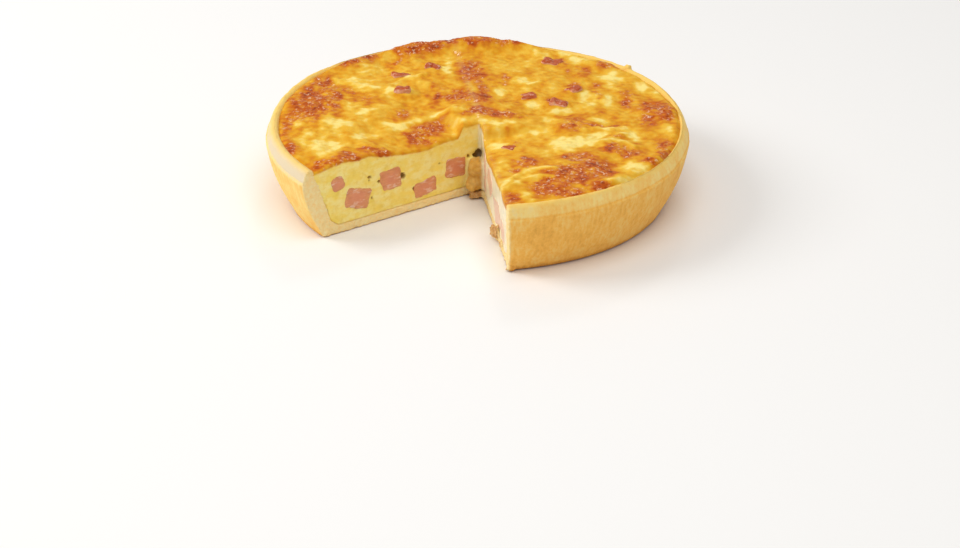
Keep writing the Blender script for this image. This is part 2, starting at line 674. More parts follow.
def egg_material(colours):
    """Set egg: browned skin on the top, soft curd where it is cut."""
    finish = Finish("baked_egg")
    place = finish.place()
    bake = finish.attribute("bake")
    toast = finish.attribute("toast")
    creamy = finish.attribute("creamy")
    fine = finish.noise(place, 0.0009, 4.0, 0.65)
    mottle = finish.noise(place, 0.0022, 3.0, 0.6)
    tone = bake + 0.16 * (fine - 0.5) + 0.12 * (mottle - 0.5) + 0.30 * toast * (fine - 0.5)
    skin = finish.ramp(
        tone, (0.05, colours.cream), (0.24, colours.yolk), (0.46, colours.gold),
        (0.64, colours.amber), (0.80, colours.toast), (0.97, colours.char),
    )
    drops = toast * finish.noise(place, 0.0012, 2.0).stepped(0.57, 0.66)
    skin = finish.mix(0.55 * drops, skin, colours.glint)
    streak = finish.noise(finish.place((1.0, 1.0, 1.8)), 0.0050, 4.0, 0.6)
    curd = finish.mix(streak.stepped(0.36, 0.64), colours.custard_pale, colours.custard)
    curd = finish.mix(0.60 * mottle.stepped(0.48, 0.72), curd, colours.custard_deep)
    curd = finish.mix(0.85 * creamy, curd, colours.custard_right)
    torn = finish.attribute("torn") * (0.45 + 0.6 * streak)
    curd = finish.mix(torn.clamped(), curd, colours.custard_torn)
    curd = finish.mix(0.80 * finish.attribute("pit"), curd, colours.pit)
    finish.set(
        Base_Color=finish.mix(finish.attribute("inside"), skin, curd),
        Roughness=0.50 - 0.18 * toast + 0.12 * (fine - 0.5), Specular_IOR_Level=0.06,
        Coat_Weight=0.06 * toast + 0.55 * drops + 0.55 * creamy, Coat_Roughness=0.12,
    )
    finish.glow(0.12, 0.0030, 0.0018, 0.0007)
    finish.bump(fine + 0.7 * mottle, 0.00022, 0.7)
    return finish.material


def ham_material(colours, name, roasted=False, milky=0.0):
    """Cooked ham: pink with redder streaks, browned at the top or milky with egg."""
    finish = Finish(name)
    place = finish.place((1.0, 1.0, 2.2))
    streak = finish.noise(place, 0.0024, 4.0, 0.6)
    fibre = finish.noise(place, 0.0008, 3.0, 0.7)
    colour = finish.mix((streak * 1.7 - 0.45).clamped(), colours.ham, colours.ham_deep)
    if not roasted:
        pink = finish.attribute("core") * (0.25 + 0.7 * fibre)
        colour = finish.mix(pink.clamped(), colour, colours.ham_pink)
    fat = finish.noise(place, 0.0036, 3.0, 0.6)
    colour = finish.mix(0.70 * fat.stepped(0.54, 0.70), colour, colours.ham_fat)
    colour = finish.mix(milky, colour, colours.ham_fat)
    if roasted:
        colour = finish.mix(0.35, colour, colours.ham_fat)
        share = finish.attribute("roast") + 0.9 * (streak - 0.5) + 0.5 * (fibre - 0.5)
        colour = finish.mix(share.clamped(), colour, colours.ham_roast)
        glint = finish.noise(place, 0.0015, 2.0)
        colour = finish.mix(0.40 * glint.stepped(0.57, 0.66), colour, colours.ham_fat)
    finish.set(
        Base_Color=colour, Roughness=0.30 + 0.20 * fibre, Coat_Roughness=0.20,
        Specular_IOR_Level=0.14 if roasted else 0.30, Coat_Weight=0.05 if roasted else 0.50,
    )
    finish.glow(0.10, 0.0030, 0.0010, 0.0008)
    finish.bump(fibre + 0.5 * streak, 0.00015, 0.6)
    return finish.material


def step_between(low, high, values):
    """0 below low, 1 above high, and a smooth step between them."""
    share = np.clip((values - low) / (high - low), 0.0, 1.0)
    return share * share * (3.0 - 2.0 * share)


def grain(places, size, pattern=0.0):
    """Smooth noise in lumps of the given size, from about -1 to 1."""
    scaled = places / size + (0.0, 0.0, pattern)
    return np.array([noise.noise(place) for place in scaled.tolist()])


def bubbles(places, size):
    """Round domes packed side by side, 1 at their tops and 0 where they meet."""
    scaled = (places / size).tolist()
    near = np.array([noise.voronoi(place)[0][:2] for place in scaled])
    return np.clip((near[:, 1] - near[:, 0]) * 1.6, 0.0, 1.0)


def flat_places(x, y, level=0.0):
    """Places on the level, for noise that doesn't change with height."""
    return np.stack((x, y, np.full_like(x, level)), axis=1)


def nearness(angle, middle, spread):
    """1 in the middle direction, falling to 0 at both sides of it."""
    away = (angle - middle + math.pi) % (2.0 * math.pi) - math.pi
    return np.exp(-((away / spread) ** 2))


def lap(angle):
    """How far the filling reaches over the rim in a direction."""
    return sum(width * nearness(angle, middle, spread) for width, middle, spread in LAPS)


def swollen(places):
    """Places of the round pieces, moved out where those are swollen."""
    angle = np.arctan2(places[:, 1], places[:, 0])
    grown = 1.0 + SWELL * nearness(angle, SWELL_ANGLE, SWELL_SPREAD)
    return places * np.stack((grown, grown, np.ones_like(grown)), axis=1)


def cut_directions(cut):
    """The direction along a cut, away from the tip, and the one from it into the quiche."""
    angle, side = cut
    along = np.array((math.cos(angle), math.sin(angle)))
    inward = np.array((-math.sin(angle), math.cos(angle))) * side
    return along, inward


def cut_distances(x, y):
    """Distances into the quiche from the right and the left cut plane."""
    away_x, away_y = x - NOTCH_TIP[0], y - NOTCH_TIP[1]
    inwards = [cut_directions(cut)[1] for cut in CUTS]
    return [inward[0] * away_x + inward[1] * away_y for inward in inwards]


def leaned(places):
    """Places near the right cut, moved out over the notch the more the higher they are."""
    along, inward = cut_directions(RIGHT_CUT)
    offset = places[:, :2] - NOTCH_TIP
    share = np.exp(-np.abs(offset @ inward) / RIGHT_LEAN_DEPTH)
    share = share * step_between(*RIGHT_LEAN_START, offset @ along)
    share = share * step_between(*RIGHT_LEAN_HEIGHTS, places[:, 2])
    moved = places.copy()
    moved[:, :2] -= RIGHT_LEAN * share[:, None] * inward
    return moved


def rim_lift(angle):
    """How far the rim stands above or below its mean height in a direction."""
    return RIM_WAVE * (np.sin(3.0 * angle + 0.6) + 0.6 * np.sin(7.0 * angle + 2.1))


def wall_swell(angle):
    """How far the outer side lies inside its largest radius in a direction."""
    return -WALL_WAVE * (1.0 + 0.6 * np.sin(4.0 * angle + 1.0) + 0.4 * np.sin(9.0 * angle))


def inner_radius(height):
    """Radius of the case's inside wall at a height above its corner."""
    share = (height - BASE_THICKNESS) / (RIM_HEIGHT - BASE_THICKNESS)
    return INNER_BASE_RADIUS + (RIM_INNER_RADIUS - INNER_BASE_RADIUS) * share


def top_height(x, y):
    """Height of the filling's baked top above the base, as its solid has it."""
    radius = np.hypot(x, y)
    angle = np.arctan2(y, x)
    height = RIM_HEIGHT - FILLING_EDGE_DROP - GAP
    height = height + rim_lift(angle) * step_between(*FILLING_EDGE_BAND, radius)
    height += CROWN[0] * np.exp(-(((radius - CROWN[1]) / CROWN[2]) ** 2))
    away = np.hypot(x - SAG_PLACE[0], y - SAG_PLACE[1])
    height -= SAG_DEPTH * np.exp(-0.5 * (away / SAG_SIZE) ** 2)
    end_x, end_y, firm, fallen = FIRM_END
    left = 1.0 - (1.0 - FIRM_END_LEFT) * step_between(0.0, FIRM_END_TURN, y - end_y)
    away_x = (x - end_x) * np.where(x > end_x, FIRM_END_RIGHT, left)
    away_y = (y - end_y) * np.where(y > end_y, FIRM_END_BACK, 1.0)
    firmness = 1.0 - step_between(firm, fallen, np.hypot(away_x, away_y))
    height += firmness * np.maximum(0.0, FIRM_END_HEIGHT - height)
    near_cut = np.maximum(0.0, np.maximum(*cut_distances(x, y)))
    height -= CUT_ROUNDING * np.exp(-near_cut / CUT_ROUNDING_WIDTH)
    for _, centre_x, centre_y, half_width, half_depth, rise in BLISTERS:
        spread = ((x - centre_x) / half_width) ** 2 + ((y - centre_y) / half_depth) ** 2
        height += rise * np.maximum(0.0, 1.0 - 0.5 * spread) ** 2
    for (size, rise), level in ((BROAD_RELIEF, 0.5), (SMALL_RELIEF, 2.5)):
        height += rise * grain(flat_places(x / size, y / size, level), 1.0)
    return height


def fold_share(x, y, points, width):
    """1 along a fold, falling to 0 at its sides."""
    nearest = np.full_like(x, 1.0)
    for (x0, y0), (x1, y1) in zip(points, points[1:]):
        run_x, run_y = x1 - x0, y1 - y0
        along = ((x - x0) * run_x + (y - y0) * run_y) / (run_x ** 2 + run_y ** 2)
        along = np.clip(along, 0.0, 1.0)
        nearest = np.minimum(nearest, np.hypot(x - x0 - along * run_x, y - y0 - along * run_y))
    return np.exp(-((nearest / width) ** 2))


def mark_field(x, y, marks):
    """The strongest of some oval marks at each place, above 0 inside them."""
    field = np.full_like(x, -1.0)
    for centre_x, centre_y, half_width, half_depth, strength in marks:
        away = np.hypot((x - centre_x) / half_width, (y - centre_y) / half_depth)
        field = np.maximum(field, strength * (MARK_REACH - away))
    return field


def ham_mounds(x, y):
    """How far the skin rises round the bits of ham on the top."""
    rise = np.zeros_like(x)
    for _, centre_x, centre_y, length, width, turn, proud in TOP_HAM:
        turn = math.radians(turn)
        along = (x - centre_x) * math.cos(turn) + (y - centre_y) * math.sin(turn)
        across = (y - centre_y) * math.cos(turn) - (x - centre_x) * math.sin(turn)
        spread = (along / (0.75 * length)) ** 2 + (across / (0.75 * width)) ** 2
        rise += 0.6 * proud * np.maximum(0.0, 1.0 - 0.4 * spread)
    return rise


def cut_holes(places):
    """Depth of the holes in the cut faces at each place."""
    depth = np.zeros(len(places))
    chance = np.random.default_rng(5)
    rows = [(LEFT_CUT, *hole) for hole in LEFT_CUT_HOLES]
    for _ in range(SMALL_HOLES):
        cut = (LEFT_CUT, RIGHT_CUT)[chance.integers(2)]
        rows.append((cut, *[chance.uniform(*limits) for limits in SMALL_HOLE_LIMITS]))
    for cut, away, height, radius, tall in rows:
        along, inward = cut_directions(cut)
        offset = places[:, :2] - NOTCH_TIP
        near = np.abs(offset @ inward) < HOLE_REACH
        spread = np.hypot(offset @ along - away, (places[:, 2] - height) / tall) / radius
        spread *= 1.0 + 0.5 * grain(places, 0.0014, 101.0)
        depth += near * 1.3 * radius * np.sqrt(np.maximum(0.0, 1.0 - spread ** 2))
    return depth


def baking(x, y):
    """How toasted and how baked overall the top is at each place."""
    flat = flat_places(x, y)
    warp_x = x + 0.0015 * grain(flat, 0.0060, 11.0) + 0.0009 * grain(flat, 0.0024, 13.0)
    warp_y = y + 0.0015 * grain(flat, 0.0060, 17.0) + 0.0009 * grain(flat, 0.0024, 19.0)
    field = mark_field(warp_x, warp_y, BROWN_MARKS)
    patchy = 0.30 * grain(flat, 0.0044, 23.0) + 0.36 * grain(flat, 0.0019, 29.0)
    toast = step_between(0.08, 0.74, field + patchy)
    halo = step_between(-0.60, 0.40, field + 0.6 * patchy)
    pale = mark_field(warp_x, warp_y, PALE_MARKS)
    pale = step_between(-0.12, 0.85, pale + 0.40 * grain(flat, 0.0034, 31.0))
    for points, width, _, paleness in FOLDS:
        pale = np.maximum(pale, paleness * fold_share(warp_x, warp_y, points, width))
    toast = toast * (1.0 - 0.80 * pale)
    tone = 0.40 + 0.10 * grain(flat, 0.0115, 37.0)
    tone += 0.24 * grain(flat * (1.0, 0.7, 1.0), 0.0042, 41.0)
    tone += 0.17 * grain(flat, 0.0019, 43.0) + 0.15 * halo - 0.32 * pale
    return toast, np.clip(tone + 0.25 * toast, 0.0, 1.0)


def select_only(piece):
    """Make one object the only one that is selected, and active."""
    bpy.ops.object.select_all(action="DESELECT")
    piece.select_set(True)
    bpy.context.view_layer.objects.active = piece


def add_alone(primitive, **settings):
    """Add a primitive with nothing else selected."""
    bpy.ops.object.select_all(action="DESELECT")
    primitive(**settings)
    return bpy.context.object


@contextlib.contextmanager
def edit_mode():
    """Edit mode with all of the mesh selected, for the lines under it."""
    bpy.ops.object.mode_set(mode="EDIT")
    bpy.ops.mesh.select_all(action="SELECT")
    yield
    bpy.ops.object.mode_set(mode="OBJECT")


def places_of(piece):
    """The points of a mesh as an array."""
    places = np.empty(3 * len(piece.data.vertices))
    piece.data.vertices.foreach_get("co", places)
    return places.reshape(-1, 3)


def normals_of(piece):
    """The directions in which the points of a mesh face."""
    normals = np.empty(3 * len(piece.data.vertices))
    piece.data.vertices.foreach_get("normal", normals)
    return normals.reshape(-1, 3)


def move_to(piece, places):
    """Give the points of a mesh new places."""
    piece.data.vertices.foreach_set("co", places.ravel())
    piece.data.update()


def keep_numbers(piece, **numbers):
    """Store named numbers on the points of a mesh."""
    for name, values in numbers.items():
        layer = piece.data.attributes.new(name, "FLOAT", "POINT")
        layer.data.foreach_set("value", np.asarray(values, np.float32))


def apply_modifier(piece, kind, **settings):
    """Add one modifier with its settings, and apply it."""
    select_only(piece)
    modifier = piece.modifiers.new(kind.title(), kind)
    for name, value in settings.items():
        setattr(modifier, name, value)
    bpy.ops.object.modifier_apply(modifier=modifier.name)


def apply_place(piece):
    """Put the object's place into its mesh."""
    select_only(piece)
    bpy.ops.object.transform_apply(location=True, rotation=True, scale=True)


def join_to(piece, other):
    """Make another solid part of a piece."""
    select_only(piece)
    other.select_set(True)
    bpy.ops.object.join()


def cut_out(piece, cutter):
    """Cut one solid out of another and remove the cutter."""
    apply_modifier(piece, "BOOLEAN", operation="DIFFERENCE", solver="EXACT", object=cutter)
    bpy.data.objects.remove(cutter, do_unlink=True)


def fine_skin(piece, size):
    """Give a solid an even mesh of small faces."""
    apply_modifier(piece, "REMESH", mode="VOXEL", voxel_size=size, use_smooth_shade=True)


def thin_out(piece, hidden, share):
    """Leave only a share of the faces whose points all lie in the hidden places."""
    select_only(piece)
    bpy.ops.object.mode_set(mode="EDIT")
    bpy.ops.mesh.select_mode(type="VERT")
    bpy.ops.mesh.select_all(action="DESELECT")
    bpy.ops.object.mode_set(mode="OBJECT")
    piece.data.vertices.foreach_set("select", hidden)
    bpy.ops.object.mode_set(mode="EDIT")
    bpy.ops.mesh.decimate(ratio=share)
    bpy.ops.object.mode_set(mode="OBJECT")


def finish_piece(piece, material, node):
    """Smooth a piece, give it its material and hang it on the frame."""
    piece.data.materials.clear()
    piece.data.materials.append(material)
    select_only(piece)
    bpy.ops.object.shade_smooth()
    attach(piece, BODY)
    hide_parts(node)


def turned_solid(name, section):
    """A solid turned round the upright axis from half of its section, axis to axis."""
    piece = add_alone(
        bpy.ops.mesh.primitive_circle_add, vertices=len(section), radius=CREASE_RADIUS,
    )
    piece.name = piece.data.name = name
    move_to(piece, np.array([(radius, 0.0, height) for radius, height in section]))
    with edit_mode():
        bpy.ops.mesh.spin(
            steps=TURN_STEPS, angle=2.0 * math.pi, center=(0, 0, 0), axis=(0, 0, 1),
        )
        bpy.ops.mesh.select_all(action="SELECT")
        bpy.ops.mesh.remove_doubles(threshold=MERGE_DISTANCE)
        bpy.ops.mesh.dissolve_degenerate(threshold=MERGE_DISTANCE)
        bpy.ops.mesh.delete_loose()
        bpy.ops.mesh.select_all(action="SELECT")
        bpy.ops.mesh.normals_make_consistent(inside=False)
    return piece


def notch_block(inset=0.0):
    """A solid that fills the notch, smaller by inset at both of the cuts."""
    block = add_alone(bpy.ops.mesh.primitive_cube_add, size=4.0 * CREASE_RADIUS)
    with edit_mode():
        for cut in CUTS:
            inward = Vector((*cut_directions(cut)[1], 0.0))
            bpy.ops.mesh.select_all(action="SELECT")
            bpy.ops.mesh.bisect(
                plane_co=Vector((*NOTCH_TIP, 0.0)) - inward * inset, plane_no=inward,
                use_fill=True, clear_outer=True,
            )
    return block


def torn_lump(low, high, corner):
    """A torn bit that stands in the tip of the notch."""
    along, inward = (Vector((*way, 0.0)) for way in cut_directions(RIGHT_CUT))
    width, length, shift, reach = LUMP
    lump = add_alone(bpy.ops.mesh.primitive_cube_add, size=1.0)
    middle = Vector((*NOTCH_TIP, 0.5 * (low + high))) - inward * shift + along * reach
    turn = Matrix((-inward, -along, Vector((0, 0, 1)))).transposed().to_4x4()
    for point in lump.data.vertices:
        if point.co.z > 0.0:
            point.co.x = -0.5 + (point.co.x + 0.5) * LUMP_TAPER
    stretch = Matrix.Diagonal((width, length, high - low, 1.0))
    lump.matrix_world = Matrix.Translation(middle) @ turn @ stretch
    apply_place(lump)
    with edit_mode():
        bpy.ops.mesh.normals_make_consistent(inside=False)
        bpy.ops.mesh.bevel(offset=corner, segments=2, affect="EDGES")
    return lump


def crumb(place, size, turn):
    """An uneven crumb."""
    made = add_alone(bpy.ops.mesh.primitive_ico_sphere_add, subdivisions=3, radius=0.5)
    places = places_of(made)
    uneven = 1.0 + 0.45 * grain(places, 0.42, 100.0 * place[0])
    uneven += 0.35 * grain(places, 0.20, 300.0 * place[0])
    move_to(made, places * uneven[:, None])
    made.matrix_world = (
        Matrix.Translation(place) @ Matrix.Rotation(math.radians(turn), 4, "Z")
        @ Matrix.Diagonal((*size, 1.0))
    )
    apply_place(made)
    return made


def ham_block(name, size, seed, matrix):
    """A cube of ham with worn corners, in its place."""
    piece = add_alone(bpy.ops.mesh.primitive_cube_add, size=1.0)
    piece.name = piece.data.name = name
    for point in piece.data.vertices:
        spot = point.co / HAM_WOBBLE_SIZE + seed * Vector((1.0, 0.37, 0.1))
        for axis in range(3):
            wobble = noise.noise(spot + axis * Vector((9.3, 5.1, 2.7)))
            half = 0.5 * size[axis] * (1.0 + HAM_WOBBLE * wobble)
            point.co[axis] = math.copysign(half, point.co[axis])
    with edit_mode():
        bpy.ops.mesh.bevel(offset=HAM_CORNER, segments=3, affect="EDGES")
    piece.matrix_world = matrix
    apply_place(piece)
    return piece


def roughen_ham(piece, amount):
    """Fibres and dents in a piece of ham."""
    places = places_of(piece)
    wave = grain(places, 0.0028, 71.0) + 0.5 * grain(places, 0.0011, 73.0)
    move_to(piece, places + (amount * wave)[:, None] * normals_of(piece))


def case_section():
    """Half section of the pastry case, from the middle of its base round to its floor."""
    points = [(0.0, 0.0)]
    for step in range(4):
        turn = math.radians(30.0 * step)
        points.append((
            BASE_RADIUS - BASE_CORNER * (1.0 - math.sin(turn)),
            BASE_CORNER * (1.0 - math.cos(turn)),
        ))
    for step in range(1, 6):
        share = step / 6.0
        radius = BASE_RADIUS + (CREASE_RADIUS - BASE_RADIUS) * share
        height = BASE_CORNER + (CREASE_HEIGHT - BASE_CORNER) * share
        points.append((radius + WALL_BULGE * math.sin(math.pi * share), height))
    points += [(CREASE_RADIUS, CREASE_HEIGHT), BAND_FOOT]
    points += [(RIM_OUTER_RADIUS + out, RIM_HEIGHT + up) for out, up in RIM_LIP]
    points.append((RIM_INNER_RADIUS + RIM_INNER_LIP[0], RIM_HEIGHT + RIM_INNER_LIP[1]))
    points.append((RIM_INNER_RADIUS, RIM_HEIGHT - FILLING_EDGE_DROP))
    for height in (SHOULDER_HEIGHT, BASE_THICKNESS + INNER_CORNER):
        points.append((inner_radius(height), height))
    points.append((INNER_BASE_RADIUS - INNER_CORNER, BASE_THICKNESS))
    points.append((0.0, BASE_THICKNESS))
    return points


def filling_section():
    """Half section of the filling before its top is shaped."""
    corner = BASE_THICKNESS + INNER_CORNER
    edge = RIM_HEIGHT - FILLING_EDGE_DROP
    return [
        (0.0, BASE_THICKNESS - PASTRY_OVERLAP),
        (INNER_BASE_RADIUS - INNER_CORNER, BASE_THICKNESS - PASTRY_OVERLAP),
        (inner_radius(corner) + PASTRY_OVERLAP, corner),
        (inner_radius(SHOULDER_HEIGHT) + PASTRY_OVERLAP, SHOULDER_HEIGHT),
        (RIM_INNER_RADIUS + PASTRY_OVERLAP, edge - 0.0006),
        (FILLING_FLARE, edge),
        (FILLING_FLARE, FILLING_TOP),
        (0.0, FILLING_TOP),
    ]


def dress_case(piece):
    """Roughen the crust and keep its tones, and tell which of its points stay hidden."""
    places = places_of(piece)
    x, y, height = places.T
    radius = np.hypot(x, y)
    angle = np.arctan2(y, x)
    share = height / RIM_HEIGHT
    low = 0.5 * (BASE_RADIUS + INNER_BASE_RADIUS)
    high = 0.5 * (RIM_OUTER_RADIUS + RIM_INNER_RADIUS)
    past_middle = radius - low - (high - low) * share
    outside = step_between(-WALL_MIDDLE, WALL_MIDDLE, past_middle)
    near_cut = np.maximum(*cut_distances(x, y))
    cut = 1.0 - step_between(*CASE_CUT, near_cut)
    torn = step_between(*TORN, -near_cut)

    shift = wall_swell(angle) * step_between(0.0, CREASE_HEIGHT, height) * outside
    shift += lap(angle) * step_between(*LAP_HEIGHTS, height) * (1.0 - outside)
    drag = grain(places * (1.0, 1.0, 0.14), 0.0012, 3.0)
    lumps = grain(places, 0.0085, 5.0) + 0.5 * grain(places, 0.0034, 7.0)
    pits = grain(places, 0.0013, 9.0)
    rough = CRUST_DRAG * (1.0 + drag) + CRUST_LUMPS * (1.0 + lumps) + CRUST_PITS * (1.0 + pits)
    shift -= rough * outside
    crease = CREASE_HEIGHT + CREASE_RISE
    crease = crease + CREASE_WANDER * grain(flat_places(x, y), 0.014, 4.0)
    depth, width = CREASE_GROOVE
    groove = np.exp(-(((height - crease) / width) ** 2)) * outside
    shift -= depth * groove
    scale = (radius + shift) / np.maximum(radius, 0.001)

    lift = rim_lift(angle) * step_between(*RIM_WAVE_HEIGHTS, height)
    rim = step_between(*RIM_BAND, height)
    lift += rim * RIM_LUMPS * grain(places, 0.0045, 15.0)
    lift += rim * RIM_GRAIN * grain(places, 0.0014, 17.0)
    moved = np.stack((x * scale, y * scale, height + lift), axis=1)
    flake = grain(places * (1.0, 1.0, 1.6), 0.0017, 19.0) + 0.6 * grain(places, 0.0007, 21.0)
    moved -= (cut * (CUT_CRUST[0] + CUT_CRUST[1] * flake))[:, None] * normals_of(piece)
    dent = torn * (TORN_CRUST[0] + TORN_CRUST[1] * grain(places, 0.0024, 23.0))
    moved -= dent[:, None] * normals_of(piece)
    moved[:, 2] = np.clip(moved[:, 2], 0.0, CAD_HIGH[2])
    move_to(piece, leaned(swollen(moved)))

    base = 1.0 - step_between(0.0, BROWN_FOOT, height)
    band = step_between(*CREASE_BAND, height)
    pale_side = nearness(angle, PALE_SIDE, PALE_SIDE_SPREAD) * (0.28 + 0.72 * band)
    bake = 0.56 + 0.30 * base - 0.12 * band + 0.12 * groove + 0.08 * lumps - 0.46 * pale_side
    low, high = BROWNED_HEIGHTS
    browned = torn * (height > low) * (height < high)
    glaze = step_between(*GLAZE_HEIGHTS, height + 0.0008 * grain(places, 0.0030, 25.0))
    glaze *= 1.0 - step_between(*GLAZE_RADII, radius)
    keep_numbers(
        piece, bake=np.clip(bake, 0.0, 1.0), crumb=cut * (height > low),
        glaze=glaze * (1.0 - 0.6 * cut), browned=np.clip(browned, 0.0, 1.0),
    )
    inner = (outside < 0.1) & (height > BASE_THICKNESS - 0.0005) & (height < CASE_HIDDEN_HEIGHT)
    under = (height < 0.0004) & (radius < BASE_RADIUS - 0.0020)
    return (inner | under) & (near_cut > HIDDEN_FROM_CUT)


def dress_filling(piece):
    """Shape the top and the cut faces, keep their tones, and tell which points stay hidden."""
    places = places_of(piece)
    x, y, height = places.T
    right, left = cut_distances(x, y)
    near_cut = np.maximum(right, left)
    cut = 1.0 - step_between(*FILLING_CUT, near_cut)
    torn = step_between(*TORN, -near_cut)
    radius = np.hypot(x, y)
    over = lap(np.arctan2(y, x))
    grow = over * step_between(*LAP_HEIGHTS, height) * step_between(*LAP_RADII, radius)
    x, y = x * (1.0 + grow / LAP_RADIUS), y * (1.0 + grow / LAP_RADIUS)
    flat = flat_places(x, y)

    toast, bake = baking(x, y)
    top = top_height(x, y)
    for points, width, rise, _ in FOLDS:
        top += rise * fold_share(x, y, points, width)
    top += ham_mounds(x, y)
    edge = step_between(EDGE_START, FILLING_FLARE, radius)
    lapped = LAP_RISE * np.minimum(1.0, over / LAP_FULL)
    top += lapped * step_between(*LAP_RISE_RADII, radius) - (EDGE_DROP + lapped) * edge
    domes = bubbles(flat, BUBBLE_SIZE)
    rough = SKIN_GRAIN * grain(flat, 0.0012, 51.0) + SKIN_LUMPS * grain(flat, 0.0024, 53.0)
    relief = toast * (BUBBLE_RISE * domes - TOAST_SINK + rough)
    relief += (1.0 - toast) * (SMOOTH_SKIN_GRAIN * grain(flat, 0.0014, 55.0) + 0.7 * rough)
    top += relief * (1.0 - 0.8 * edge)
    top = np.minimum(top, CAD_HIGH[2] - TOP_MARGIN)
    share = step_between(TOP_START, FILLING_TOP, height)
    moved = np.stack((x, y, height + (top - FILLING_TOP) * share), axis=1)

    wave = grain(places, 0.0060, 61.0) + 0.6 * grain(places, 0.0018, 63.0)
    dent = cut * (CUT_CURD[0] + CUT_CURD[1] * wave)
    dent += torn * (TORN_CURD[0] + TORN_CURD[1] * grain(places, 0.0034, 65.0))
    dent += torn * TORN_CURD[2] * grain(places, 0.0014, 67.0)
    holes = cut_holes(places)
    moved -= (dent + cut * holes)[:, None] * normals_of(piece)
    move_to(piece, leaned(swollen(moved)))

    reach = SKIN_REACH * (1.0 - step_between(0.0, 0.0030, right)) * (right > -0.0005)
    inside = step_between(0.0003, 0.0011, FILLING_TOP - height + 0.0003 * wave - reach)
    bake += 0.20 * toast * (domes - 0.55) + 0.10 * toast * grain(flat, 0.0013, 57.0)
    keep_numbers(
        piece, toast=toast * (1.0 - inside), bake=np.clip(bake, 0.0, 1.0), inside=inside,
        pit=np.clip(HOLE_DARKNESS * holes, 0.0, 1.0), torn=torn,
        creamy=step_between(-0.0015, 0.0, right) * (1.0 - step_between(0.001, 0.002, right)),
    )
    side = (radius > inner_radius(height) - 0.0012) & (height < FILLING_HIDDEN_HEIGHT)
    under = height < BASE_THICKNESS + 0.0004
    return (side | under) & (near_cut > HIDDEN_FROM_CUT)


class QUICHE_OT_pastry_case(bpy.types.Operator):
    """Turn the pastry case, cut the notch into it and roughen it"""

    bl_idname = "quiche.pastry_case"
    bl_label = "Pastry Case"

    def execute(self, context):
        piece = turned_solid("quiche_pastry_case", case_section())
        cut_out(piece, notch_block())
        join_to(piece, torn_lump(0.0, BASE_THICKNESS, CRUST_LUMP_CORNER))
        for x, y, height, length, width, tall, turn in CRUMBS:
            join_to(piece, crumb((x, y, height), (length, width, tall), turn))
        fine_skin(piece, SKIN_SIZE)
        thin_out(piece, dress_case(piece), CASE_HIDDEN_SHARE)
        finish_piece(piece, pastry_material(context.scene.quiche_colours), "pastry_case")
        return {"FINISHED"}


class QUICHE_OT_egg_filling(bpy.types.Operator):
    """Turn the filling, shape its baked top and open the holes at the cuts"""

    bl_idname = "quiche.egg_filling"
    bl_label = "Egg Filling"

    def execute(self, context):
        piece = turned_solid("quiche_egg_filling", filling_section())
        cut_out(piece, notch_block())
        join_to(piece, torn_lump(BASE_THICKNESS - LUMP_OVERLAP, LUMP_HEIGHT, LUMP_CORNER))
        fine_skin(piece, SKIN_SIZE)
        thin_out(piece, dress_filling(piece), FILLING_HIDDEN_SHARE)
        finish_piece(piece, egg_material(context.scene.quiche_colours), "egg_filling")
        return {"FINISHED"}


class QUICHE_OT_cut_ham(bpy.types.Operator):
    """Set the cubes of ham that the knife went through"""

    bl_idname = "quiche.cut_ham"
    bl_label = "Ham at the Cuts"

    def execute(self, context):
        colours = context.scene.quiche_colours
        clean = ham_material(colours, "cooked_ham")
        milky = ham_material(colours, "milky_ham", milky=0.80)
        for cut, rows, material, first in (
            (RIGHT_CUT, RIGHT_CUT_HAM, milky, 10), (LEFT_CUT, LEFT_CUT_HAM, clean, 20),
        ):
            along, inward = (Vector((*way, 0.0)) for way in cut_directions(cut))
            turn = Matrix((along, inward, Vector((0, 0, 1)))).transposed().to_4x4()
            for seed, (name, away, height, length, tall, lean) in enumerate(rows, first):
                middle = Vector((*NOTCH_TIP, height)) + along * away
                middle += inward * (HAM_DEPTH / 2.0 - HAM_PROUD)
                matrix = Matrix.Translation(middle) @ turn
                matrix @= Matrix.Rotation(math.radians(lean), 4, "Y")
                piece = ham_block("quiche_" + name, (length, HAM_DEPTH, tall), seed, matrix)
                fine_skin(piece, HAM_SKIN_SIZE * 1.3)
                roughen_ham(piece, HAM_BULGE)
                cut_out(piece, notch_block(HAM_CUT_INSET))
                fine_skin(piece, HAM_SKIN_SIZE)
                roughen_ham(piece, HAM_FIBRES)
                local = (places_of(piece) - matrix.translation) @ np.array(matrix.to_3x3())
                edge = np.maximum(np.abs(local[:, 0]) / length, np.abs(local[:, 2]) / tall)
                keep_numbers(piece, core=1.0 - step_between(0.15, 0.50, edge))
                if cut is RIGHT_CUT:
                    move_to(piece, leaned(places_of(piece)))
                finish_piece(piece, material, name)
        return {"FINISHED"}


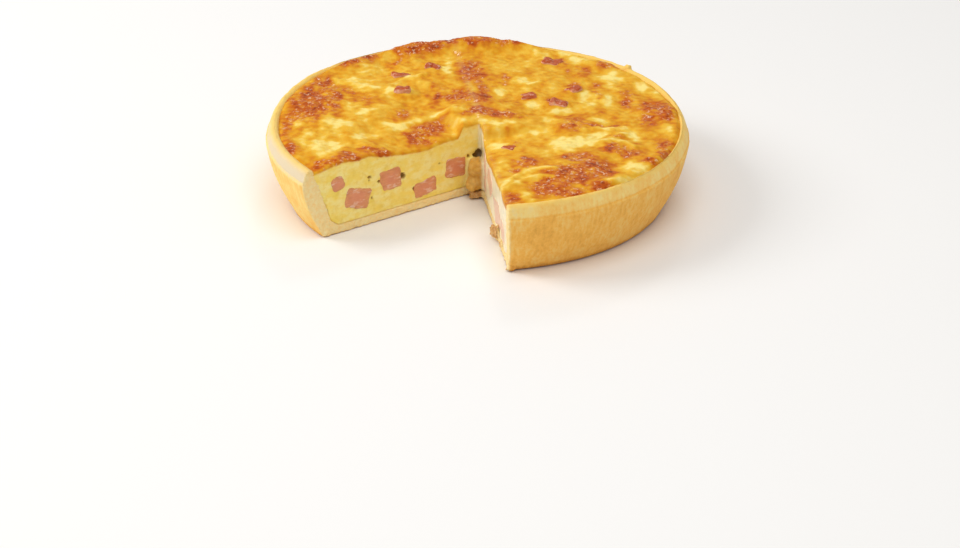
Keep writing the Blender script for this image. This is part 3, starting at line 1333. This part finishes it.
class QUICHE_OT_top_ham(bpy.types.Operator):
    """Set the roasted bits of ham that stand out of the top"""

    bl_idname = "quiche.top_ham"
    bl_label = "Ham on the Top"

    def execute(self, context):
        material = ham_material(context.scene.quiche_colours, "roasted_ham", roasted=True)
        for index, (name, x, y, length, width, turn, proud) in enumerate(TOP_HAM):
            here = top_height(np.array([x]), np.array([y]))[0]
            height = here + 1.25 * proud - TOP_HAM_THICKNESS / 2.0
            matrix = Matrix.Translation((x, y, height))
            matrix @= Matrix.Rotation(math.radians(turn), 4, "Z")
            matrix @= Matrix.Rotation(math.radians(TOP_HAM_TILT * (-1) ** index), 4, "Y")
            size = (length, width, TOP_HAM_THICKNESS)
            piece = ham_block("quiche_" + name, size, 30 + index, matrix)
            fine_skin(piece, HAM_SKIN_SIZE)
            places = places_of(piece)
            ragged = [grain(places, 0.0030, pattern) for pattern in (91.0, 93.0, 95.0)]
            move_to(piece, places + TOP_HAM_RAGGED * np.stack(ragged, axis=1) * (1.0, 1.0, 0.7))
            roughen_ham(piece, TOP_HAM_DENTS)
            places = places_of(piece)
            rise = (places[:, 2] - here) / proud
            upwards = step_between(0.25, 0.85, normals_of(piece)[:, 2])
            roast = np.clip(1.05 * upwards + 0.6 * grain(places, 0.0026, 81.0), 0.0, 1.0)
            keep_numbers(piece, roast=roast * step_between(-0.6, 0.3, rise))
            finish_piece(piece, material, name)
        return {"FINISHED"}


class QUICHE_OT_stage(bpy.types.Operator):
    """Lay the floor and set up the lights and the camera"""

    bl_idname = "quiche.stage"
    bl_label = "Floor, Lights and Camera"

    def execute(self, context):
        stage = context.scene.quiche_stage
        place = (0.0, 0.0, -FLOOR_DROP)
        floor = add_alone(bpy.ops.mesh.primitive_plane_add, size=FLOOR_SIZE, location=place)
        floor.name = "pale_floor"
        apply_place(floor)
        ground = Finish("pale_ground")
        cloud = ground.noise(ground.place(), 0.4, 2.0)
        tint = ground.mix(0.05 * cloud, context.scene.quiche_colours.floor, (0.8, 0.8, 0.8))
        ground.set(Base_Color=tint, Roughness=0.6)
        floor.data.materials.append(ground.material)
        floor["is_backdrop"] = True
        powers = (stage.key_power, stage.fill_power, stage.back_power)
        for (name, place, size), power in zip(LIGHTS, powers):
            light = bpy.data.lights.new(name, "AREA")
            light.energy = power
            light.size = size
            lamp = bpy.data.objects.new(name, light)
            lamp.location = place
            aim = Vector((0.0, 0.0, RIM_HEIGHT)) - Vector(place)
            lamp.rotation_euler = aim.to_track_quat("-Z", "Y").to_euler()
            context.scene.collection.objects.link(lamp)
        world = bpy.data.worlds.new("white_surround")
        world.use_nodes = True
        surround = world.node_tree.nodes["Background"]
        surround.inputs["Color"].default_value = (1.0, 1.0, 1.0, 1.0)
        surround.inputs["Strength"].default_value = stage.sky_strength
        context.scene.world = world
        context.scene.view_settings.view_transform = "Standard"
        lens = bpy.data.cameras.new("camera")
        lens.lens = stage.camera_lens
        camera = bpy.data.objects.new("camera", lens)
        camera.location = stage.camera_place
        camera.rotation_euler = (stage.camera_tilt, 0.0, 0.0)
        context.scene.collection.objects.link(camera)
        context.scene.camera = camera
        return {"FINISHED"}


class QUICHE_PT_panel(bpy.types.Panel):
    """Lists the pieces of the quiche"""

    bl_label = "Quiche Lorraine"
    bl_space_type = "VIEW_3D"
    bl_region_type = "UI"
    bl_category = "Quiche"

    def draw(self, context):
        for operator in OPERATORS:
            self.layout.operator(operator.bl_idname)
        for group in (context.scene.quiche_colours, context.scene.quiche_stage):
            for name in group.bl_rna.properties.keys():
                if name not in ("rna_type", "name"):
                    self.layout.prop(group, name)


OPERATORS = (
    QUICHE_OT_pastry_case, QUICHE_OT_egg_filling, QUICHE_OT_cut_ham, QUICHE_OT_top_ham,
    QUICHE_OT_stage,
)
CLASSES = (QuicheColours, QuicheStage, *OPERATORS, QUICHE_PT_panel)


def register():
    """Make the classes and settings known."""
    for item in CLASSES:
        bpy.utils.register_class(item)
    bpy.types.Scene.quiche_colours = bpy.props.PointerProperty(type=QuicheColours)
    bpy.types.Scene.quiche_stage = bpy.props.PointerProperty(type=QuicheStage)


def unregister():
    """Take the classes and settings back."""
    del bpy.types.Scene.quiche_stage
    del bpy.types.Scene.quiche_colours
    for item in reversed(CLASSES):
        bpy.utils.unregister_class(item)


def main():
    """Make every piece."""
    register()
    bpy.ops.quiche.stage()
    bpy.ops.quiche.pastry_case()
    bpy.ops.quiche.egg_filling()
    bpy.ops.quiche.cut_ham()
    bpy.ops.quiche.top_ham()


if __name__ == "__main__":
    main()
